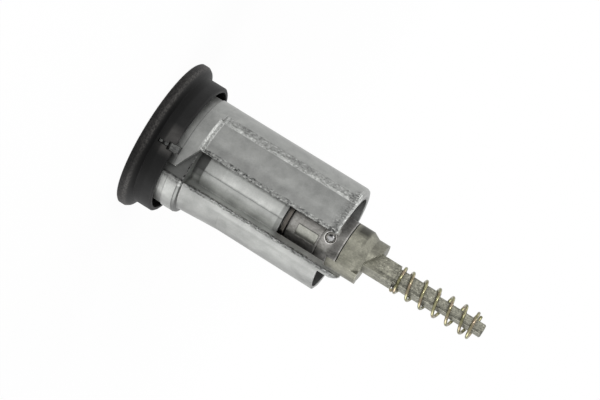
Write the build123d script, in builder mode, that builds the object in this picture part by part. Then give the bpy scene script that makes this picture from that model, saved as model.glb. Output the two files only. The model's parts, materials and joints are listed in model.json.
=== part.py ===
# Ignition lock cylinder: bezel cap, die-cast sleeve, wafer plug, dust shutter, rear driver and tail spring.
# The lock stands on the front of its cap. Z runs up the lock's axis from the key side to the tail.
# Angles named "clock" are measured about that axis from the open side (-Y) toward +X. Millimetres.
from build123d import *
import math
import os

os.makedirs("parts", exist_ok=True)

# Clearances
running = 0.05          # radial, between pieces that turn or slide in each other
end_play = 0.1          # lengthwise, between pieces that move
seating = 0.02          # between pieces that are fixed together
past = 1.0              # how far a cutting shape runs past the face that it opens

# Plug
plug_radius = 6.15
head_radius = 8.2
head_thickness = 2.1
key_width = 2.5
key_height = 8.6
key_depth = 30.4
line_ahead = 0.4        # from the slider's pocket to the turned line behind it
groove_line_width = 0.35
groove_line_depth = 0.2

# Sleeve
sleeve_radius = 13.5
sleeve_front = 2.3
shell_wall = 2.3
tube_wall = 1.8
band_height = 9.9       # from the sleeve's front to the rear of its full band
band_edge = 0.7
core_ahead = 2.0        # from the band to the floor of the hollow between shell and tube
spigot_drop = 0.2       # how much smaller the sleeve's radius is inside the cap and under the lug
land_rise = 0.02        # how far the band behind the lug stands out past the shell
land_gap = 0.1          # from the lug to that band
tube_top = 34.6
shell_past = 12.4       # how far the shell runs on past the inner tube
rear_edge = 0.9
lug_clock = 5.0
lug_width = 1.7
lug_reach = 1.95
lug_start = 4.2         # from the sleeve's front
lug_length = 2.0
tooth_width = 0.7       # small teeth in front of the lug
tooth_drop = 0.35
tooth_start = 1.3       # from the sleeve's front
tooth_length = 0.8
tooth_pitch = 1.4
tooth_count = 2

# Open channel along the sleeve's near side, with its walls and the rail on its floor
channel_left = -1.3
channel_foot_clock = 40.5   # where the slanted wall meets the inner tube
wall_lean = 19.3            # angle of the slanted wall from the -Y direction, in degrees
channel_wall = 1.3
channel_before = 0.2        # from the channel's front end to the band's rear
pocket_depth = 0.5          # how far the channel's front end is cut below the tube
pocket_run = 2.2
rail_right = 2.1
rail_rise = 0.2
rail_nose_run = 4.5
rail_nose_drop = 0.6
tongue_rise = 4.8
tongue_depth = 2.4
tongue_root = 0.5
tongue_nose_width = 1.2
tongue_nose_height = 2.6

# Recess in the band ahead of the channel: a flat floor with one slanted edge
recess_depth = 1.85
recess_tip_x = 4.4          # where the slanted edge starts, on the lug's side
recess_tip_before = 3.05    # from the slanted edge's tip to the band's rear
recess_left = -1.6          # where it ends, at the band's rear
recess_before = 5.2         # from the floor's front end to the band's rear

# Recessed panel beside the channel, and the thinner wall past it
panel_depth = 1.0
panel_before = 0.5
panel_slope_run = 1.2
panel_clock = -45.5
panel_slope_clock = 7.0
panel_end_clock = -5.5
relief_depth = 1.75
relief_front_depth = 1.15
relief_rear_depth = 1.6
relief_settle = 10.0        # length over which the thinner wall narrows to its waist
relief_from_clock = 20.0
relief_to_clock = 121.0

# Bezel cap
collar_gap = 1.4        # between the sleeve's band and the collar
collar_wall = 1.0
collar_top = 7.5
collar_edge = 0.3
flange_reach = 2.1      # how far the flange stands out past the collar
flange_rim = 1.9
flange_cone = 3.1       # height at which the sloped back of the flange meets the collar
rim_front_edge = 0.3
rim_back_edge = 0.4
rest_ring_width = 4.0
dish_depth = 0.9
cap_clearance = 0.2
slot_front = 6.0
snap_width = 3.0
snap_top = 5.6
snap_lead = 1.0
snap_clocks = (100, 180, 260)

# Face plate, shutter and its pin
plate_thickness = 0.4
plate_skirt = 1.6
plate_wall = 0.3
plate_edge = 0.25
shutter_thickness = 0.4
shutter_overlap = 0.25
shutter_clearance = 0.15
knuckle_radius = 0.75
pin_radius = 0.4
pin_seat = 0.9
spring_room = 1.3
shutter_wire = 0.1
shutter_coils = 1

# Wafers and their springs
wafer_count = 8
wafer_first = 8.4
wafer_pitch = 2.7
wafer_thickness = 0.9
wafer_width = 6.2
wafer_travel = 0.9
wafer_window_height = 6.6
window_side = 0.3       # how much wider a wafer's window is than the keyway
bitting_step = 0.35
bittings = (1, 3, 0, 2, 3, 1, 2, 0)
ear_length = 1.4
ear_height = 1.1
ear_base = 0.6
leaf_thickness = 0.15
leaf_height = 2.0
groove_depth = 0.95
groove_side = 0.3       # room beside a wafer in the sleeve's grooves

# Retaining clip behind the inner tube
clip_ahead = 0.35
clip_thickness = 0.8
clip_seat_depth = 0.85
clip_reach = 0.95       # how far the clip stands out past the plug
clip_opening = 3.4
clip_gap_behind = 0.3

# Sprung slider in the plug's open stretch
slider_ahead = 2.3      # from the clip to the slider
slider_length = 5.0
slider_left = 0.9
slider_right = 3.4
slider_proud = 0.15
slider_shoulder = 4.6
slider_foot = 3.4
slider_pocket_floor = 1.0
leaf_margin = 0.6       # from the leaf's ends to the slider's

# Driver
stem_radius = 4.2
stem_flat = 3.2
stem_ahead = 0.9        # from the slider to the driver's stem
stem_length = 5.05
driver_gap = 0.2        # seam between the plug and the driver's body
driver_body = 3.6
driver_taper = 1.7
driver_neck = 2.7
driver_neck_depth = 0.9
dog_depth = 0.1         # how far the dog lies inside the driver's radius
dog_reach = 2.3         # how far the dog reaches forward into the plug
dog_length = 5.4
dog_from_clock = 40.0
dog_to_clock = 100.0
dog_side_clock = 0.4    # play of the dog in its notch, in degrees
slant_high_x = -3.1
slant_low_x = 0.6
shank_turn = -22.5
shank_sides = (4.6, 3.65, 2.6)
shank_lengths = (7.3, 10.4, 11.9)
shank_round = 0.4
tip_chamfer = 0.25

# Ball that locks the driver into the plug
ball_radius = 1.25
ball_ahead = 1.5        # from the stem's end to the ball
ball_depth = 1.2

# Tail spring
tail_wire = 0.38
tail_radius = 2.92
tail_start_clock = 75.0
tail_closed_pitch = 0.8
tail_open_pitch = 3.38
tail_foot_turns = 1.1
tail_open_turns = 5.35
tail_head_turns = 1
wire_sides = 6          # flats that stand for a round wire of the same section area
steps_per_turn = 16     # straight steps that stand for one turn of a coil

# Radii that follow from the sizes above
bore_radius = plug_radius + running
tube_radius = bore_radius + tube_wall
shell_bore = sleeve_radius - shell_wall
panel_radius = sleeve_radius - panel_depth
relief_radius = sleeve_radius - relief_depth
relief_front_radius = sleeve_radius - relief_front_depth
relief_rear_radius = sleeve_radius - relief_rear_depth
spigot_radius = sleeve_radius - spigot_drop
collar_bore = sleeve_radius + collar_gap
collar_radius = collar_bore + collar_wall
flange_radius = collar_radius + flange_reach
rest_ring_inner = flange_radius - rest_ring_width
plate_radius = head_radius + seating + plate_wall
seat_radius = plate_radius + running
cap_hole = plate_radius + cap_clearance
clip_seat_radius = plug_radius - clip_seat_depth
clip_radius = plug_radius + clip_reach
ball_centre = plug_radius - ball_depth
driver_radius = plug_radius
driver_neck_radius = driver_radius - driver_neck_depth
dog_radius = driver_radius - dog_depth
dog_root = stem_radius + seating
groove_radius = bore_radius + groove_depth
rail_height = tube_radius + rail_rise
rail_half = (rail_right - channel_left) / 2
reach = sleeve_radius + past

# Heights that follow from them
sleeve_top = tube_top + shell_past
band_top = sleeve_front + band_height
core_floor = band_top + core_ahead
channel_start = band_top - channel_before
rail_start = channel_start + pocket_run
panel_start = band_top - panel_before
lug_bottom = sleeve_front + lug_start
lug_top = lug_bottom + lug_length
tooth_bottom = sleeve_front + tooth_start
land_start = lug_top + land_gap
head_front = sleeve_front + plate_thickness / 2
head_back = head_front + head_thickness
plate_front = head_front - plate_thickness
seat_floor = head_back + end_play
clip_front = tube_top + clip_ahead
clip_groove_width = clip_thickness + clip_gap_behind
slider_bottom = clip_front + clip_thickness + slider_ahead
slider_top = slider_bottom + slider_length
groove_line_height = slider_top + line_ahead
stem_bottom = slider_top + stem_ahead
driver_bottom = stem_bottom + stem_length
plug_end = driver_bottom - driver_gap
driver_shoulder = driver_bottom + driver_body
driver_neck_bottom = driver_shoulder + driver_taper
driver_top = driver_neck_bottom + driver_neck
dog_bottom = driver_bottom - dog_reach
dog_top = driver_bottom + dog_length
ball_height = stem_bottom + ball_ahead

# Places and sizes of the small pieces inside the plug
pin_x = -(key_width / 2 + shutter_clearance + knuckle_radius)
pin_z = head_front + end_play + knuckle_radius
shutter_reach = key_width / 2 + shutter_overlap
shutter_half = key_height / 2 + shutter_overlap
cavity_half = shutter_half + shutter_clearance
cavity_left = pin_x - knuckle_radius - end_play
cavity_right = shutter_reach + shutter_clearance
swing = math.hypot(shutter_reach - pin_x, knuckle_radius) + shutter_clearance
shutter_coil_radius = pin_radius + running + shutter_wire
wafer_sides = (1, -1)
wafer_side = wafer_width / 2 + ear_length
pocket_side = wafer_side + end_play
pocket_bottom = ear_base - leaf_height - leaf_thickness
leaf_outer = wafer_side - leaf_thickness
leaf_inner = wafer_width / 2 + leaf_thickness
slider_width = slider_right - slider_left - 2 * running
slider_middle = (slider_left + slider_right) / 2
wire_corner = tail_wire * math.sqrt(math.tau / wire_sides / math.sin(math.tau / wire_sides))


def clock_point(radius, clock):
    """Point on a circle round the lock's axis, at an angle measured from -Y toward +X."""
    angle = math.radians(clock)
    return (radius * math.sin(angle), -radius * math.cos(angle))


channel_foot, foot_y = clock_point(tube_radius, channel_foot_clock)


def slant_x(y):
    """Where the channel's slanted wall stands at a given y."""
    return channel_foot + math.tan(math.radians(wall_lean)) * (foot_y - y)


def clock_place(radius, clock):
    """Place on such a circle, turned so that its y runs along the radius."""
    return Location((*clock_point(radius, clock), 0), (0, 0, clock))


def clock_plane(clock):
    """Plane that holds the lock's axis: its x runs outward at the given angle and its y runs up."""
    x, y = clock_point(1, clock)
    return Plane(origin=(0, 0, 0), x_dir=(x, y, 0), z_dir=(y, -x, 0))


def sector(radius, from_clock, to_clock):
    """Wedge from the axis out past the radius, as the points of a polygon."""
    far = radius / math.cos(math.radians(to_clock - from_clock) / 4)
    middle = (from_clock + to_clock) / 2
    return [(0, 0), clock_point(far, from_clock), clock_point(far, middle), clock_point(far, to_clock)]


def eased(corner_x, corner_y, size):
    """Points that take off an upper right corner in two flats, from its side to its top."""
    middle = size * (1 - math.sqrt(0.5))
    return [(corner_x, corner_y - size), (corner_x - middle, corner_y - middle), (corner_x - size, corner_y)]


def wafer_middle(index):
    """Height of one wafer's middle."""
    return wafer_first + running + wafer_thickness / 2 + index * wafer_pitch


def wind_spring(place, radius, wire, stages, leg_in=0, leg_out=0):
    """Coil about the z axis of a plane, from stages of turns and pitch, with straight legs at its ends."""
    turned, height, route = 0, 0, []
    if leg_in:
        route.append((radius, -leg_in, 0))
    for turns, pitch in stages:
        steps = round(turns * steps_per_turn)
        for step in range(steps):
            share = turns * step / steps
            angle = math.tau * (turned + share)
            route.append((radius * math.cos(angle), radius * math.sin(angle), height + share * pitch))
        turned += turns
        height += turns * pitch
    end_x, end_y = math.cos(math.tau * turned), math.sin(math.tau * turned)
    route.append((radius * end_x, radius * end_y, height))
    if leg_out:
        route.append((radius * end_x - leg_out * end_y, radius * end_y + leg_out * end_x, height))
    path = Wire.make_polygon([place.from_local_coords(point) for point in route], close=False)
    with BuildPart() as spring:
        with BuildSketch(Plane(origin=path @ 0, z_dir=path % 0)):
            RegularPolygon(wire, wire_sides)
        sweep(path=path, transition=Transition.RIGHT)
    return spring.part


# Shutter spring: its first leg reaches the shutter's back at one tangent, its last one the face plate
leg_x = shutter_reach - end_play - pin_x
leg_z = shutter_thickness + shutter_wire - knuckle_radius
leg_span = math.hypot(leg_x, leg_z)
leg_angle = math.degrees(math.atan2(leg_z, leg_x) + math.acos(shutter_coil_radius / leg_span))
leg_in = math.sqrt(leg_span**2 - shutter_coil_radius**2)
leg_out = pin_z - head_front - shutter_wire
shutter_turns = shutter_coils + (180 - leg_angle) / 360
shutter_pitch = (spring_room - 4 * shutter_wire) / shutter_turns
shutter_place = Plane(origin=(pin_x, shutter_half - 2 * shutter_wire, pin_z),
                      x_dir=(math.cos(math.radians(leg_angle)), 0, math.sin(math.radians(leg_angle))),
                      z_dir=(0, -1, 0))
tail_place = Plane(origin=(0, 0, dog_top + shank_lengths[0] + wire_corner + seating),
                   x_dir=(*clock_point(1, tail_start_clock), 0), z_dir=(0, 0, 1))


# Bezel cap: a dished flange with a collar that runs back over the sleeve's front end
with BuildPart() as bezel_cap:
    with BuildSketch(Plane.XZ):
        with BuildLine():
            back_rise = (flange_cone - flange_rim) / flange_reach * rim_back_edge
            Polyline((cap_hole, dish_depth), (rest_ring_inner, 0), (flange_radius - rim_front_edge, 0),
                     (flange_radius, rim_front_edge), (flange_radius, flange_rim - rim_back_edge),
                     (flange_radius - rim_back_edge, flange_rim + back_rise), (collar_radius, flange_cone),
                     (collar_radius, collar_top - collar_edge), (collar_radius - collar_edge, collar_top),
                     (collar_bore, collar_top), (collar_bore, sleeve_front), (cap_hole, sleeve_front),
                     close=True)
        make_face()
    revolve(axis=Axis.Z)
    # slot that the sleeve's lug slides into, with a slit for the small teeth in front of it
    for width, bottom, top in ((lug_width, slot_front, collar_top + past),
                               (tooth_width, tooth_bottom - end_play, slot_front + past)):
        with BuildSketch(Plane.XY.offset(bottom)):
            with Locations(clock_place(sleeve_radius, lug_clock)):
                Rectangle(width + 2 * running, 2 * (collar_radius + past - sleeve_radius))
        extrude(amount=top - bottom, mode=Mode.SUBTRACT)
    # snap ribs that hold the sleeve in the middle of the collar
    for clock in snap_clocks:
        with BuildSketch(clock_plane(clock)):
            with BuildLine():
                rib_root = collar_bore + collar_wall / 2
                rib_face = spigot_radius + seating
                Polyline((rib_face, sleeve_front), (rib_face, snap_top - snap_lead), (rib_root, snap_top),
                         (rib_root, sleeve_front), close=True)
            make_face()
        extrude(amount=snap_width / 2, both=True)
bezel_cap.part.label = "bezel_cap"
export_step(bezel_cap.part, "parts/bezel_cap.step")


# Sleeve: die-cast shell, inner tube for the plug, open channel, recessed panel, thinner wall and tongue
with BuildPart() as sleeve:
    with BuildSketch(Plane.XZ):
        with BuildLine():
            Polyline((0, sleeve_front), (spigot_radius, sleeve_front), (spigot_radius, land_start),
                     (sleeve_radius, land_start), *eased(sleeve_radius, sleeve_top, rear_edge),
                     (0, sleeve_top), close=True)
        make_face()
    revolve(axis=Axis.Z)
    # band that bears in the lock's housing
    with BuildSketch(Plane.XY.offset(land_start)):
        Circle(sleeve_radius + land_rise)
    extrude(amount=band_top - land_start)
    # hollow between the shell and the tube
    with BuildSketch(Plane.XY.offset(core_floor)):
        Circle(shell_bore)
        Circle(tube_radius, mode=Mode.SUBTRACT)
    extrude(amount=sleeve_top - core_floor, mode=Mode.SUBTRACT)
    # walls on both sides of the channel, from the tube out to the shell
    with BuildSketch(Plane.XY.offset(core_floor)):
        with BuildLine():
            Polyline((channel_left - channel_wall, 0), (channel_left - channel_wall, -sleeve_radius),
                     (slant_x(-sleeve_radius) + channel_wall, -sleeve_radius), (slant_x(0) + channel_wall, 0),
                     close=True)
        make_face()
        Circle(shell_bore + seating, mode=Mode.INTERSECT)
        Circle(tube_radius - seating, mode=Mode.SUBTRACT)
    extrude(amount=sleeve_top - core_floor)
    # open channel down to the tube, and its deeper front end
    for floor, end in ((tube_radius, sleeve_top + past), (tube_radius - pocket_depth, rail_start)):
        with BuildSketch(Plane.XY.offset(channel_start)):
            with BuildLine():
                Polyline((channel_left, 0), (channel_left, -reach), (slant_x(-reach), -reach),
                         (slant_x(0), 0), close=True)
            make_face()
            Circle(floor, mode=Mode.SUBTRACT)
        extrude(amount=end - channel_start, mode=Mode.SUBTRACT)
    # end of the inner tube
    with BuildSketch(Plane.XY.offset(tube_top)):
        Circle(tube_radius)
    extrude(amount=sleeve_top - tube_top + past, mode=Mode.SUBTRACT)
    # flat rail on the channel's floor: a round front end and a slanted nose
    with BuildSketch(Plane.XZ.offset(tube_radius - pocket_depth)):
        with Locations(((channel_left + rail_right) / 2, rail_start)):
            Rectangle(2 * rail_half, 2 * rail_half)
        with Locations(((channel_left + rail_right) / 2, rail_start + rail_half)):
            Circle(rail_half, mode=Mode.SUBTRACT)
    extrude(amount=reach - tube_radius, mode=Mode.SUBTRACT)
    with BuildSketch(Plane.YZ.offset(channel_left)):
        with BuildLine():
            nose_foot = (-rail_height + rail_nose_drop, rail_start)
            nose_top = (-rail_height, rail_start + rail_nose_run)
            Polyline(nose_foot, nose_top, (-reach, rail_start + rail_nose_run), (-reach, rail_start),
                     close=True)
        make_face()
    extrude(amount=rail_right - channel_left, mode=Mode.SUBTRACT)
    with BuildSketch(Plane.YZ.offset(channel_left)):
        with BuildLine():
            Polyline(nose_foot, nose_top, (-rail_height, tube_top), (-groove_radius - running, tube_top),
                     (-groove_radius - running, rail_start), close=True)
        make_face()
    extrude(amount=rail_right - channel_left)
    # bore, seat for the plug's head and the grooves that the wafers lock into
    with BuildSketch(Plane.XY.offset(sleeve_front)):
        Circle(bore_radius)
    extrude(amount=sleeve_top - sleeve_front, mode=Mode.SUBTRACT)
    with BuildSketch(Plane.XY.offset(sleeve_front)):
        Circle(seat_radius)
    extrude(amount=seat_floor - sleeve_front, mode=Mode.SUBTRACT)
    with BuildSketch(Plane.XY.offset(seat_floor)):
        Circle(groove_radius)
        Rectangle(wafer_width + 2 * groove_side, 2 * groove_radius, mode=Mode.INTERSECT)
    extrude(amount=wafer_first + wafer_count * wafer_pitch - seat_floor, mode=Mode.SUBTRACT)
    # recessed panel with its sloped front and side
    with BuildSketch(clock_plane(panel_clock)):
        with BuildLine():
            slope_past = panel_slope_run / panel_depth * past
            Polyline((panel_radius, panel_start + panel_slope_run), (reach, panel_start - slope_past),
                     (reach, sleeve_top + past), (panel_radius, sleeve_top + past), close=True)
        make_face()
    revolve(axis=Axis.Z, revolution_arc=panel_end_clock - panel_clock, mode=Mode.SUBTRACT)
    with BuildSketch(Plane.XY.offset(panel_start + panel_slope_run / 2)):
        with BuildLine():
            Polyline(clock_point(panel_radius, panel_clock), clock_point(reach, panel_clock),
                     clock_point(reach, panel_clock - 2 * panel_slope_clock), close=True)
        make_face()
    extrude(amount=sleeve_top - panel_start, mode=Mode.SUBTRACT)
    # thinner wall past the channel, with a rounded step at the front band
    with BuildSketch(clock_plane(relief_from_clock)):
        with BuildLine():
            band_corner = eased(sleeve_radius, band_top, band_edge)
            Polyline((reach, band_corner[0][1]), *band_corner, (relief_front_radius, band_top),
                     (relief_radius, band_top + relief_settle), (relief_rear_radius, sleeve_top),
                     (relief_rear_radius, sleeve_top + past), (reach, sleeve_top + past), close=True)
        make_face()
    revolve(axis=Axis.Z, revolution_arc=relief_to_clock - relief_from_clock, mode=Mode.SUBTRACT)
    # recess in the band ahead of the channel: a flat floor with one slanted edge
    with BuildSketch(Plane.XZ.offset(sleeve_radius - recess_depth)):
        with BuildLine():
            Polyline((recess_tip_x, band_top - recess_before), (recess_tip_x, band_top - recess_tip_before),
                     (recess_left, band_top), (reach, band_top), (reach, band_top - recess_before),
                     close=True)
        make_face()
    extrude(amount=recess_depth + past, mode=Mode.SUBTRACT)
    # tongue that carries the channel's slanted wall on past the rear
    with BuildSketch(Plane.XY.offset(sleeve_top - tongue_root)):
        with BuildLine():
            Polyline((slant_x(-reach) + seating, -reach), (slant_x(-reach) + channel_wall - seating, -reach),
                     (slant_x(0) + channel_wall - seating, 0), (slant_x(0) + seating, 0), close=True)
        make_face()
        Circle(relief_rear_radius - seating, mode=Mode.INTERSECT)
        Circle(relief_rear_radius - tongue_depth, mode=Mode.SUBTRACT)
    extrude(amount=tongue_root + tongue_rise)
    with BuildSketch(Plane.XZ):
        with BuildLine():
            tongue_top = sleeve_top + tongue_rise
            tongue_right = sleeve.faces().sort_by(Axis.Z)[-1].bounding_box().max.X
            nose_start = (tongue_right - tongue_nose_width, tongue_top)
            nose_end = (tongue_right, tongue_top - tongue_nose_height)
            RadiusArc(nose_start, nose_end, math.dist(nose_start, nose_end))
            Polyline(nose_end, (tongue_right + past, tongue_top - tongue_nose_height),
                     (tongue_right + past, tongue_top + past), (nose_start[0], tongue_top + past), nose_start)
        make_face()
    extrude(amount=sleeve_radius, mode=Mode.SUBTRACT)
    # lug that keys the sleeve into the cap's slot, and the small teeth in front of it
    with BuildSketch(Plane.XY.offset(lug_bottom)):
        with Locations(clock_place(sleeve_radius, lug_clock)):
            Rectangle(lug_width, 2 * lug_reach)
    extrude(amount=lug_length)
    for index in range(tooth_count):
        with BuildSketch(Plane.XY.offset(tooth_bottom + index * tooth_pitch)):
            with Locations(clock_place(sleeve_radius, lug_clock)):
                Rectangle(tooth_width, 2 * (lug_reach - tooth_drop))
        extrude(amount=tooth_length)
sleeve.part.label = "sleeve"
export_step(sleeve.part, "parts/sleeve.step")


# Plug: head, barrel with keyway and wafer slots, clip groove, slider pocket and the socket for the driver
with BuildPart() as plug:
    with BuildSketch(Plane.XY.offset(head_front)):
        Circle(head_radius)
    extrude(amount=head_thickness)
    with BuildSketch(Plane.XY.offset(head_back)):
        Circle(plug_radius)
    extrude(amount=plug_end - head_back)
    with BuildSketch(Plane.XY.offset(head_front)):
        Rectangle(key_width, key_height)
    extrude(amount=key_depth, mode=Mode.SUBTRACT)
    # room for the shutter to swing in, and the hole for its pin
    with BuildSketch(Plane.XY.offset(head_front)):
        with Locations(((cavity_left + cavity_right) / 2, 0)):
            Rectangle(cavity_right - cavity_left, 2 * cavity_half)
    extrude(amount=pin_z - head_front + swing, mode=Mode.SUBTRACT)
    with BuildSketch(Plane.XZ):
        with Locations((pin_x, pin_z)):
            Circle(pin_radius + seating)
    extrude(amount=cavity_half + pin_seat, both=True, mode=Mode.SUBTRACT)
    # one slot for each wafer, with the pocket for its ear and spring
    for index in range(wafer_count):
        side = wafer_sides[index % 2]
        with BuildSketch(Plane.XY.offset(wafer_middle(index))):
            Rectangle(wafer_width + 2 * running, 2 * (plug_radius + past))
            with BuildLine():
                Polyline((0, pocket_bottom), (side * pocket_side, pocket_bottom),
                         (side * pocket_side, plug_radius), (0, plug_radius), close=True)
            make_face()
        extrude(amount=wafer_thickness / 2 + running, both=True, mode=Mode.SUBTRACT)
    # groove for the clip, and the turned line in front of the rear collar
    with BuildSketch(Plane.XY.offset(clip_front - running)):
        Circle(plug_radius + past)
        Circle(clip_seat_radius, mode=Mode.SUBTRACT)
    extrude(amount=clip_groove_width, mode=Mode.SUBTRACT)
    with BuildSketch(Plane.XY.offset(groove_line_height)):
        Circle(plug_radius + past)
        Circle(plug_radius - groove_line_depth, mode=Mode.SUBTRACT)
    extrude(amount=groove_line_width, mode=Mode.SUBTRACT)
    # pocket for the slider: a mouth for its head and a longer room for its foot
    with BuildSketch(Plane.XZ):
        with Locations((slider_middle, (slider_bottom + slider_top) / 2)):
            Rectangle(slider_width + 2 * running, slider_top - slider_bottom + 2 * running)
    extrude(amount=plug_radius + past, mode=Mode.SUBTRACT)
    with BuildSketch(Plane.XZ.offset(slider_pocket_floor)):
        with Locations((slider_middle, (slider_bottom + stem_bottom) / 2)):
            Rectangle(slider_width + 2 * running, stem_bottom - slider_bottom + 2 * running)
    extrude(amount=slider_shoulder - slider_pocket_floor, mode=Mode.SUBTRACT)
    # socket and side notch for the driver, and the hole for the ball that locks it
    with BuildSketch(Plane.XY.offset(stem_bottom - seating)):
        Circle(stem_radius + seating)
        Rectangle(2 * (stem_flat + seating), 2 * plug_radius, mode=Mode.INTERSECT)
    extrude(amount=plug_end - stem_bottom + past, mode=Mode.SUBTRACT)
    with BuildSketch(Plane.XY.offset(dog_bottom - seating)):
        with BuildLine():
            Polyline(sector(plug_radius + past, dog_from_clock - dog_side_clock,
                            dog_to_clock + dog_side_clock), close=True)
        make_face()
        Circle(dog_root, mode=Mode.SUBTRACT)
    extrude(amount=plug_end - dog_bottom + past, mode=Mode.SUBTRACT)
    with BuildSketch(Plane.XZ):
        with Locations((0, ball_height)):
            Circle(ball_radius + seating)
    extrude(amount=plug_radius + past, mode=Mode.SUBTRACT)
plug.part.label = "plug"
export_step(plug.part, "parts/plug.step")


# Face plate: thin cup with the key's slot, pressed over the plug's head
with BuildPart() as face_plate:
    with BuildSketch(Plane.XY.offset(plate_front)):
        Circle(plate_radius)
    extrude(amount=plate_thickness + plate_skirt)
    chamfer(face_plate.edges().group_by(Axis.Z)[0], plate_edge)
    with BuildSketch(Plane.XY.offset(head_front)):
        Circle(head_radius + seating)
    extrude(amount=plate_skirt + past, mode=Mode.SUBTRACT)
    with BuildSketch(Plane.XY.offset(plate_front)):
        RectangleRounded(key_width, key_height, key_width / 4)
    extrude(amount=plate_thickness, mode=Mode.SUBTRACT)
face_plate.part.label = "face_plate"
export_step(face_plate.part, "parts/face_plate.step")


# Shutter: plate that closes the key's slot, with a knuckle round its pin and a notch for its spring
with BuildPart() as shutter:
    with BuildSketch(Plane.XY.offset(pin_z - knuckle_radius)):
        with Locations(((pin_x + shutter_reach) / 2, 0)):
            Rectangle(shutter_reach - pin_x, 2 * shutter_half)
    extrude(amount=shutter_thickness)
    with BuildSketch(Plane.XZ.offset(-shutter_half)):
        with Locations((pin_x, pin_z)):
            Circle(knuckle_radius)
    extrude(amount=2 * shutter_half)
    with BuildSketch(Plane.XZ.offset(-shutter_half - past)):
        with Locations((pin_x, pin_z)):
            Circle(pin_radius + running)
    extrude(amount=2 * (shutter_half + past), mode=Mode.SUBTRACT)
    with BuildSketch(Plane.XZ.offset(-shutter_half - past)):
        with Locations((pin_x, pin_z)):
            Rectangle(2 * (knuckle_radius + running), 2 * (knuckle_radius + running))
    extrude(amount=spring_room + past, mode=Mode.SUBTRACT)
shutter.part.label = "shutter"
export_step(shutter.part, "parts/shutter.step")

with BuildPart() as shutter_pin:
    with BuildSketch(Plane.XZ):
        with Locations((pin_x, pin_z)):
            Circle(pin_radius)
    extrude(amount=cavity_half + pin_seat - seating, both=True)
shutter_pin.part.label = "shutter_pin"
export_step(shutter_pin.part, "parts/shutter_pin.step")

# Shutter spring: coil round the pin, one leg on the shutter's back and one on the face plate
shutter_spring = wind_spring(shutter_place, shutter_coil_radius, shutter_wire,
                             ((shutter_turns, shutter_pitch),), leg_in, leg_out)
shutter_spring.label = "shutter_spring"
export_step(shutter_spring, "parts/shutter_spring.step")


# Wafers: plates with rounded ends that fit the plug, each with its own window, ear and folded spring
for index in range(wafer_count):
    side = wafer_sides[index % 2]
    with BuildPart() as wafer:
        with BuildSketch(Plane.XY.offset(wafer_middle(index))):
            Circle(plug_radius - running)
            with Locations((0, wafer_travel)):
                Circle(plug_radius - running, mode=Mode.INTERSECT)
            Rectangle(wafer_width, 2 * plug_radius, mode=Mode.INTERSECT)
            with BuildLine():
                Polyline((0, ear_base), (side * wafer_side, ear_base),
                         (side * wafer_side, ear_base + ear_height), (0, ear_base + ear_height), close=True)
            make_face()
            with Locations((0, bittings[index % len(bittings)] * bitting_step)):
                Rectangle(key_width + window_side, wafer_window_height, mode=Mode.SUBTRACT)
        extrude(amount=wafer_thickness / 2, both=True)
    wafer.part.label = f"wafer_{index + 1}"
    export_step(wafer.part, f"parts/wafer_{index + 1}.step")

    with BuildPart() as wafer_spring:
        with BuildSketch(Plane.XY.offset(wafer_middle(index))):
            with BuildLine():
                Polyline((side * leaf_outer, ear_base - leaf_thickness),
                         (side * leaf_inner, ear_base - leaf_height / 2),
                         (side * leaf_outer, ear_base - leaf_height))
            trace(line_width=leaf_thickness)
        extrude(amount=wafer_thickness / 2, both=True)
    wafer_spring.part.label = f"wafer_spring_{index + 1}"
    export_step(wafer_spring.part, f"parts/wafer_spring_{index + 1}.step")


# Clip: open ring in the plug's groove, behind the sleeve's inner tube
with BuildPart() as clip:
    with BuildSketch(Plane.XY.offset(clip_front)):
        Circle(clip_radius)
        Circle(clip_seat_radius + seating, mode=Mode.SUBTRACT)
        with Locations((0, clip_radius)):
            Rectangle(clip_opening, 2 * (clip_radius - clip_seat_radius) + past, mode=Mode.SUBTRACT)
    extrude(amount=clip_thickness)
clip.part.label = "retaining_clip"
export_step(clip.part, "parts/retaining_clip.step")


# Slider: block with a round top that follows the plug, and a foot that stops it in its pocket
with BuildPart() as slider:
    with BuildSketch(Plane.XY.offset(slider_bottom)):
        Circle(plug_radius + slider_proud)
        with Locations((slider_middle, -slider_foot - plug_radius)):
            Rectangle(slider_width, 2 * plug_radius, mode=Mode.INTERSECT)
    extrude(amount=slider_top - slider_bottom)
    with BuildSketch(Plane.XY.offset(slider_top)):
        with Locations((slider_middle, -(slider_foot + slider_shoulder - end_play) / 2)):
            Rectangle(slider_width, slider_shoulder - end_play - slider_foot)
    extrude(amount=stem_bottom - slider_top - running)
slider.part.label = "slider"
export_step(slider.part, "parts/slider.step")

# Slider spring: bowed leaf between the pocket's floor and the slider's foot
with BuildPart() as slider_spring:
    with BuildSketch(Plane.YZ.offset(slider_middle)):
        with BuildLine():
            leaf_foot = -slider_pocket_floor - leaf_thickness / 2
            Polyline((leaf_foot, slider_bottom + leaf_margin),
                     (-slider_foot + leaf_thickness, (slider_bottom + slider_top) / 2),
                     (leaf_foot, slider_top - leaf_margin))
        trace(line_width=leaf_thickness)
    extrude(amount=slider_width / 2 - end_play, both=True)
slider_spring.part.label = "slider_spring"
export_step(slider_spring.part, "parts/slider_spring.step")


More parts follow.
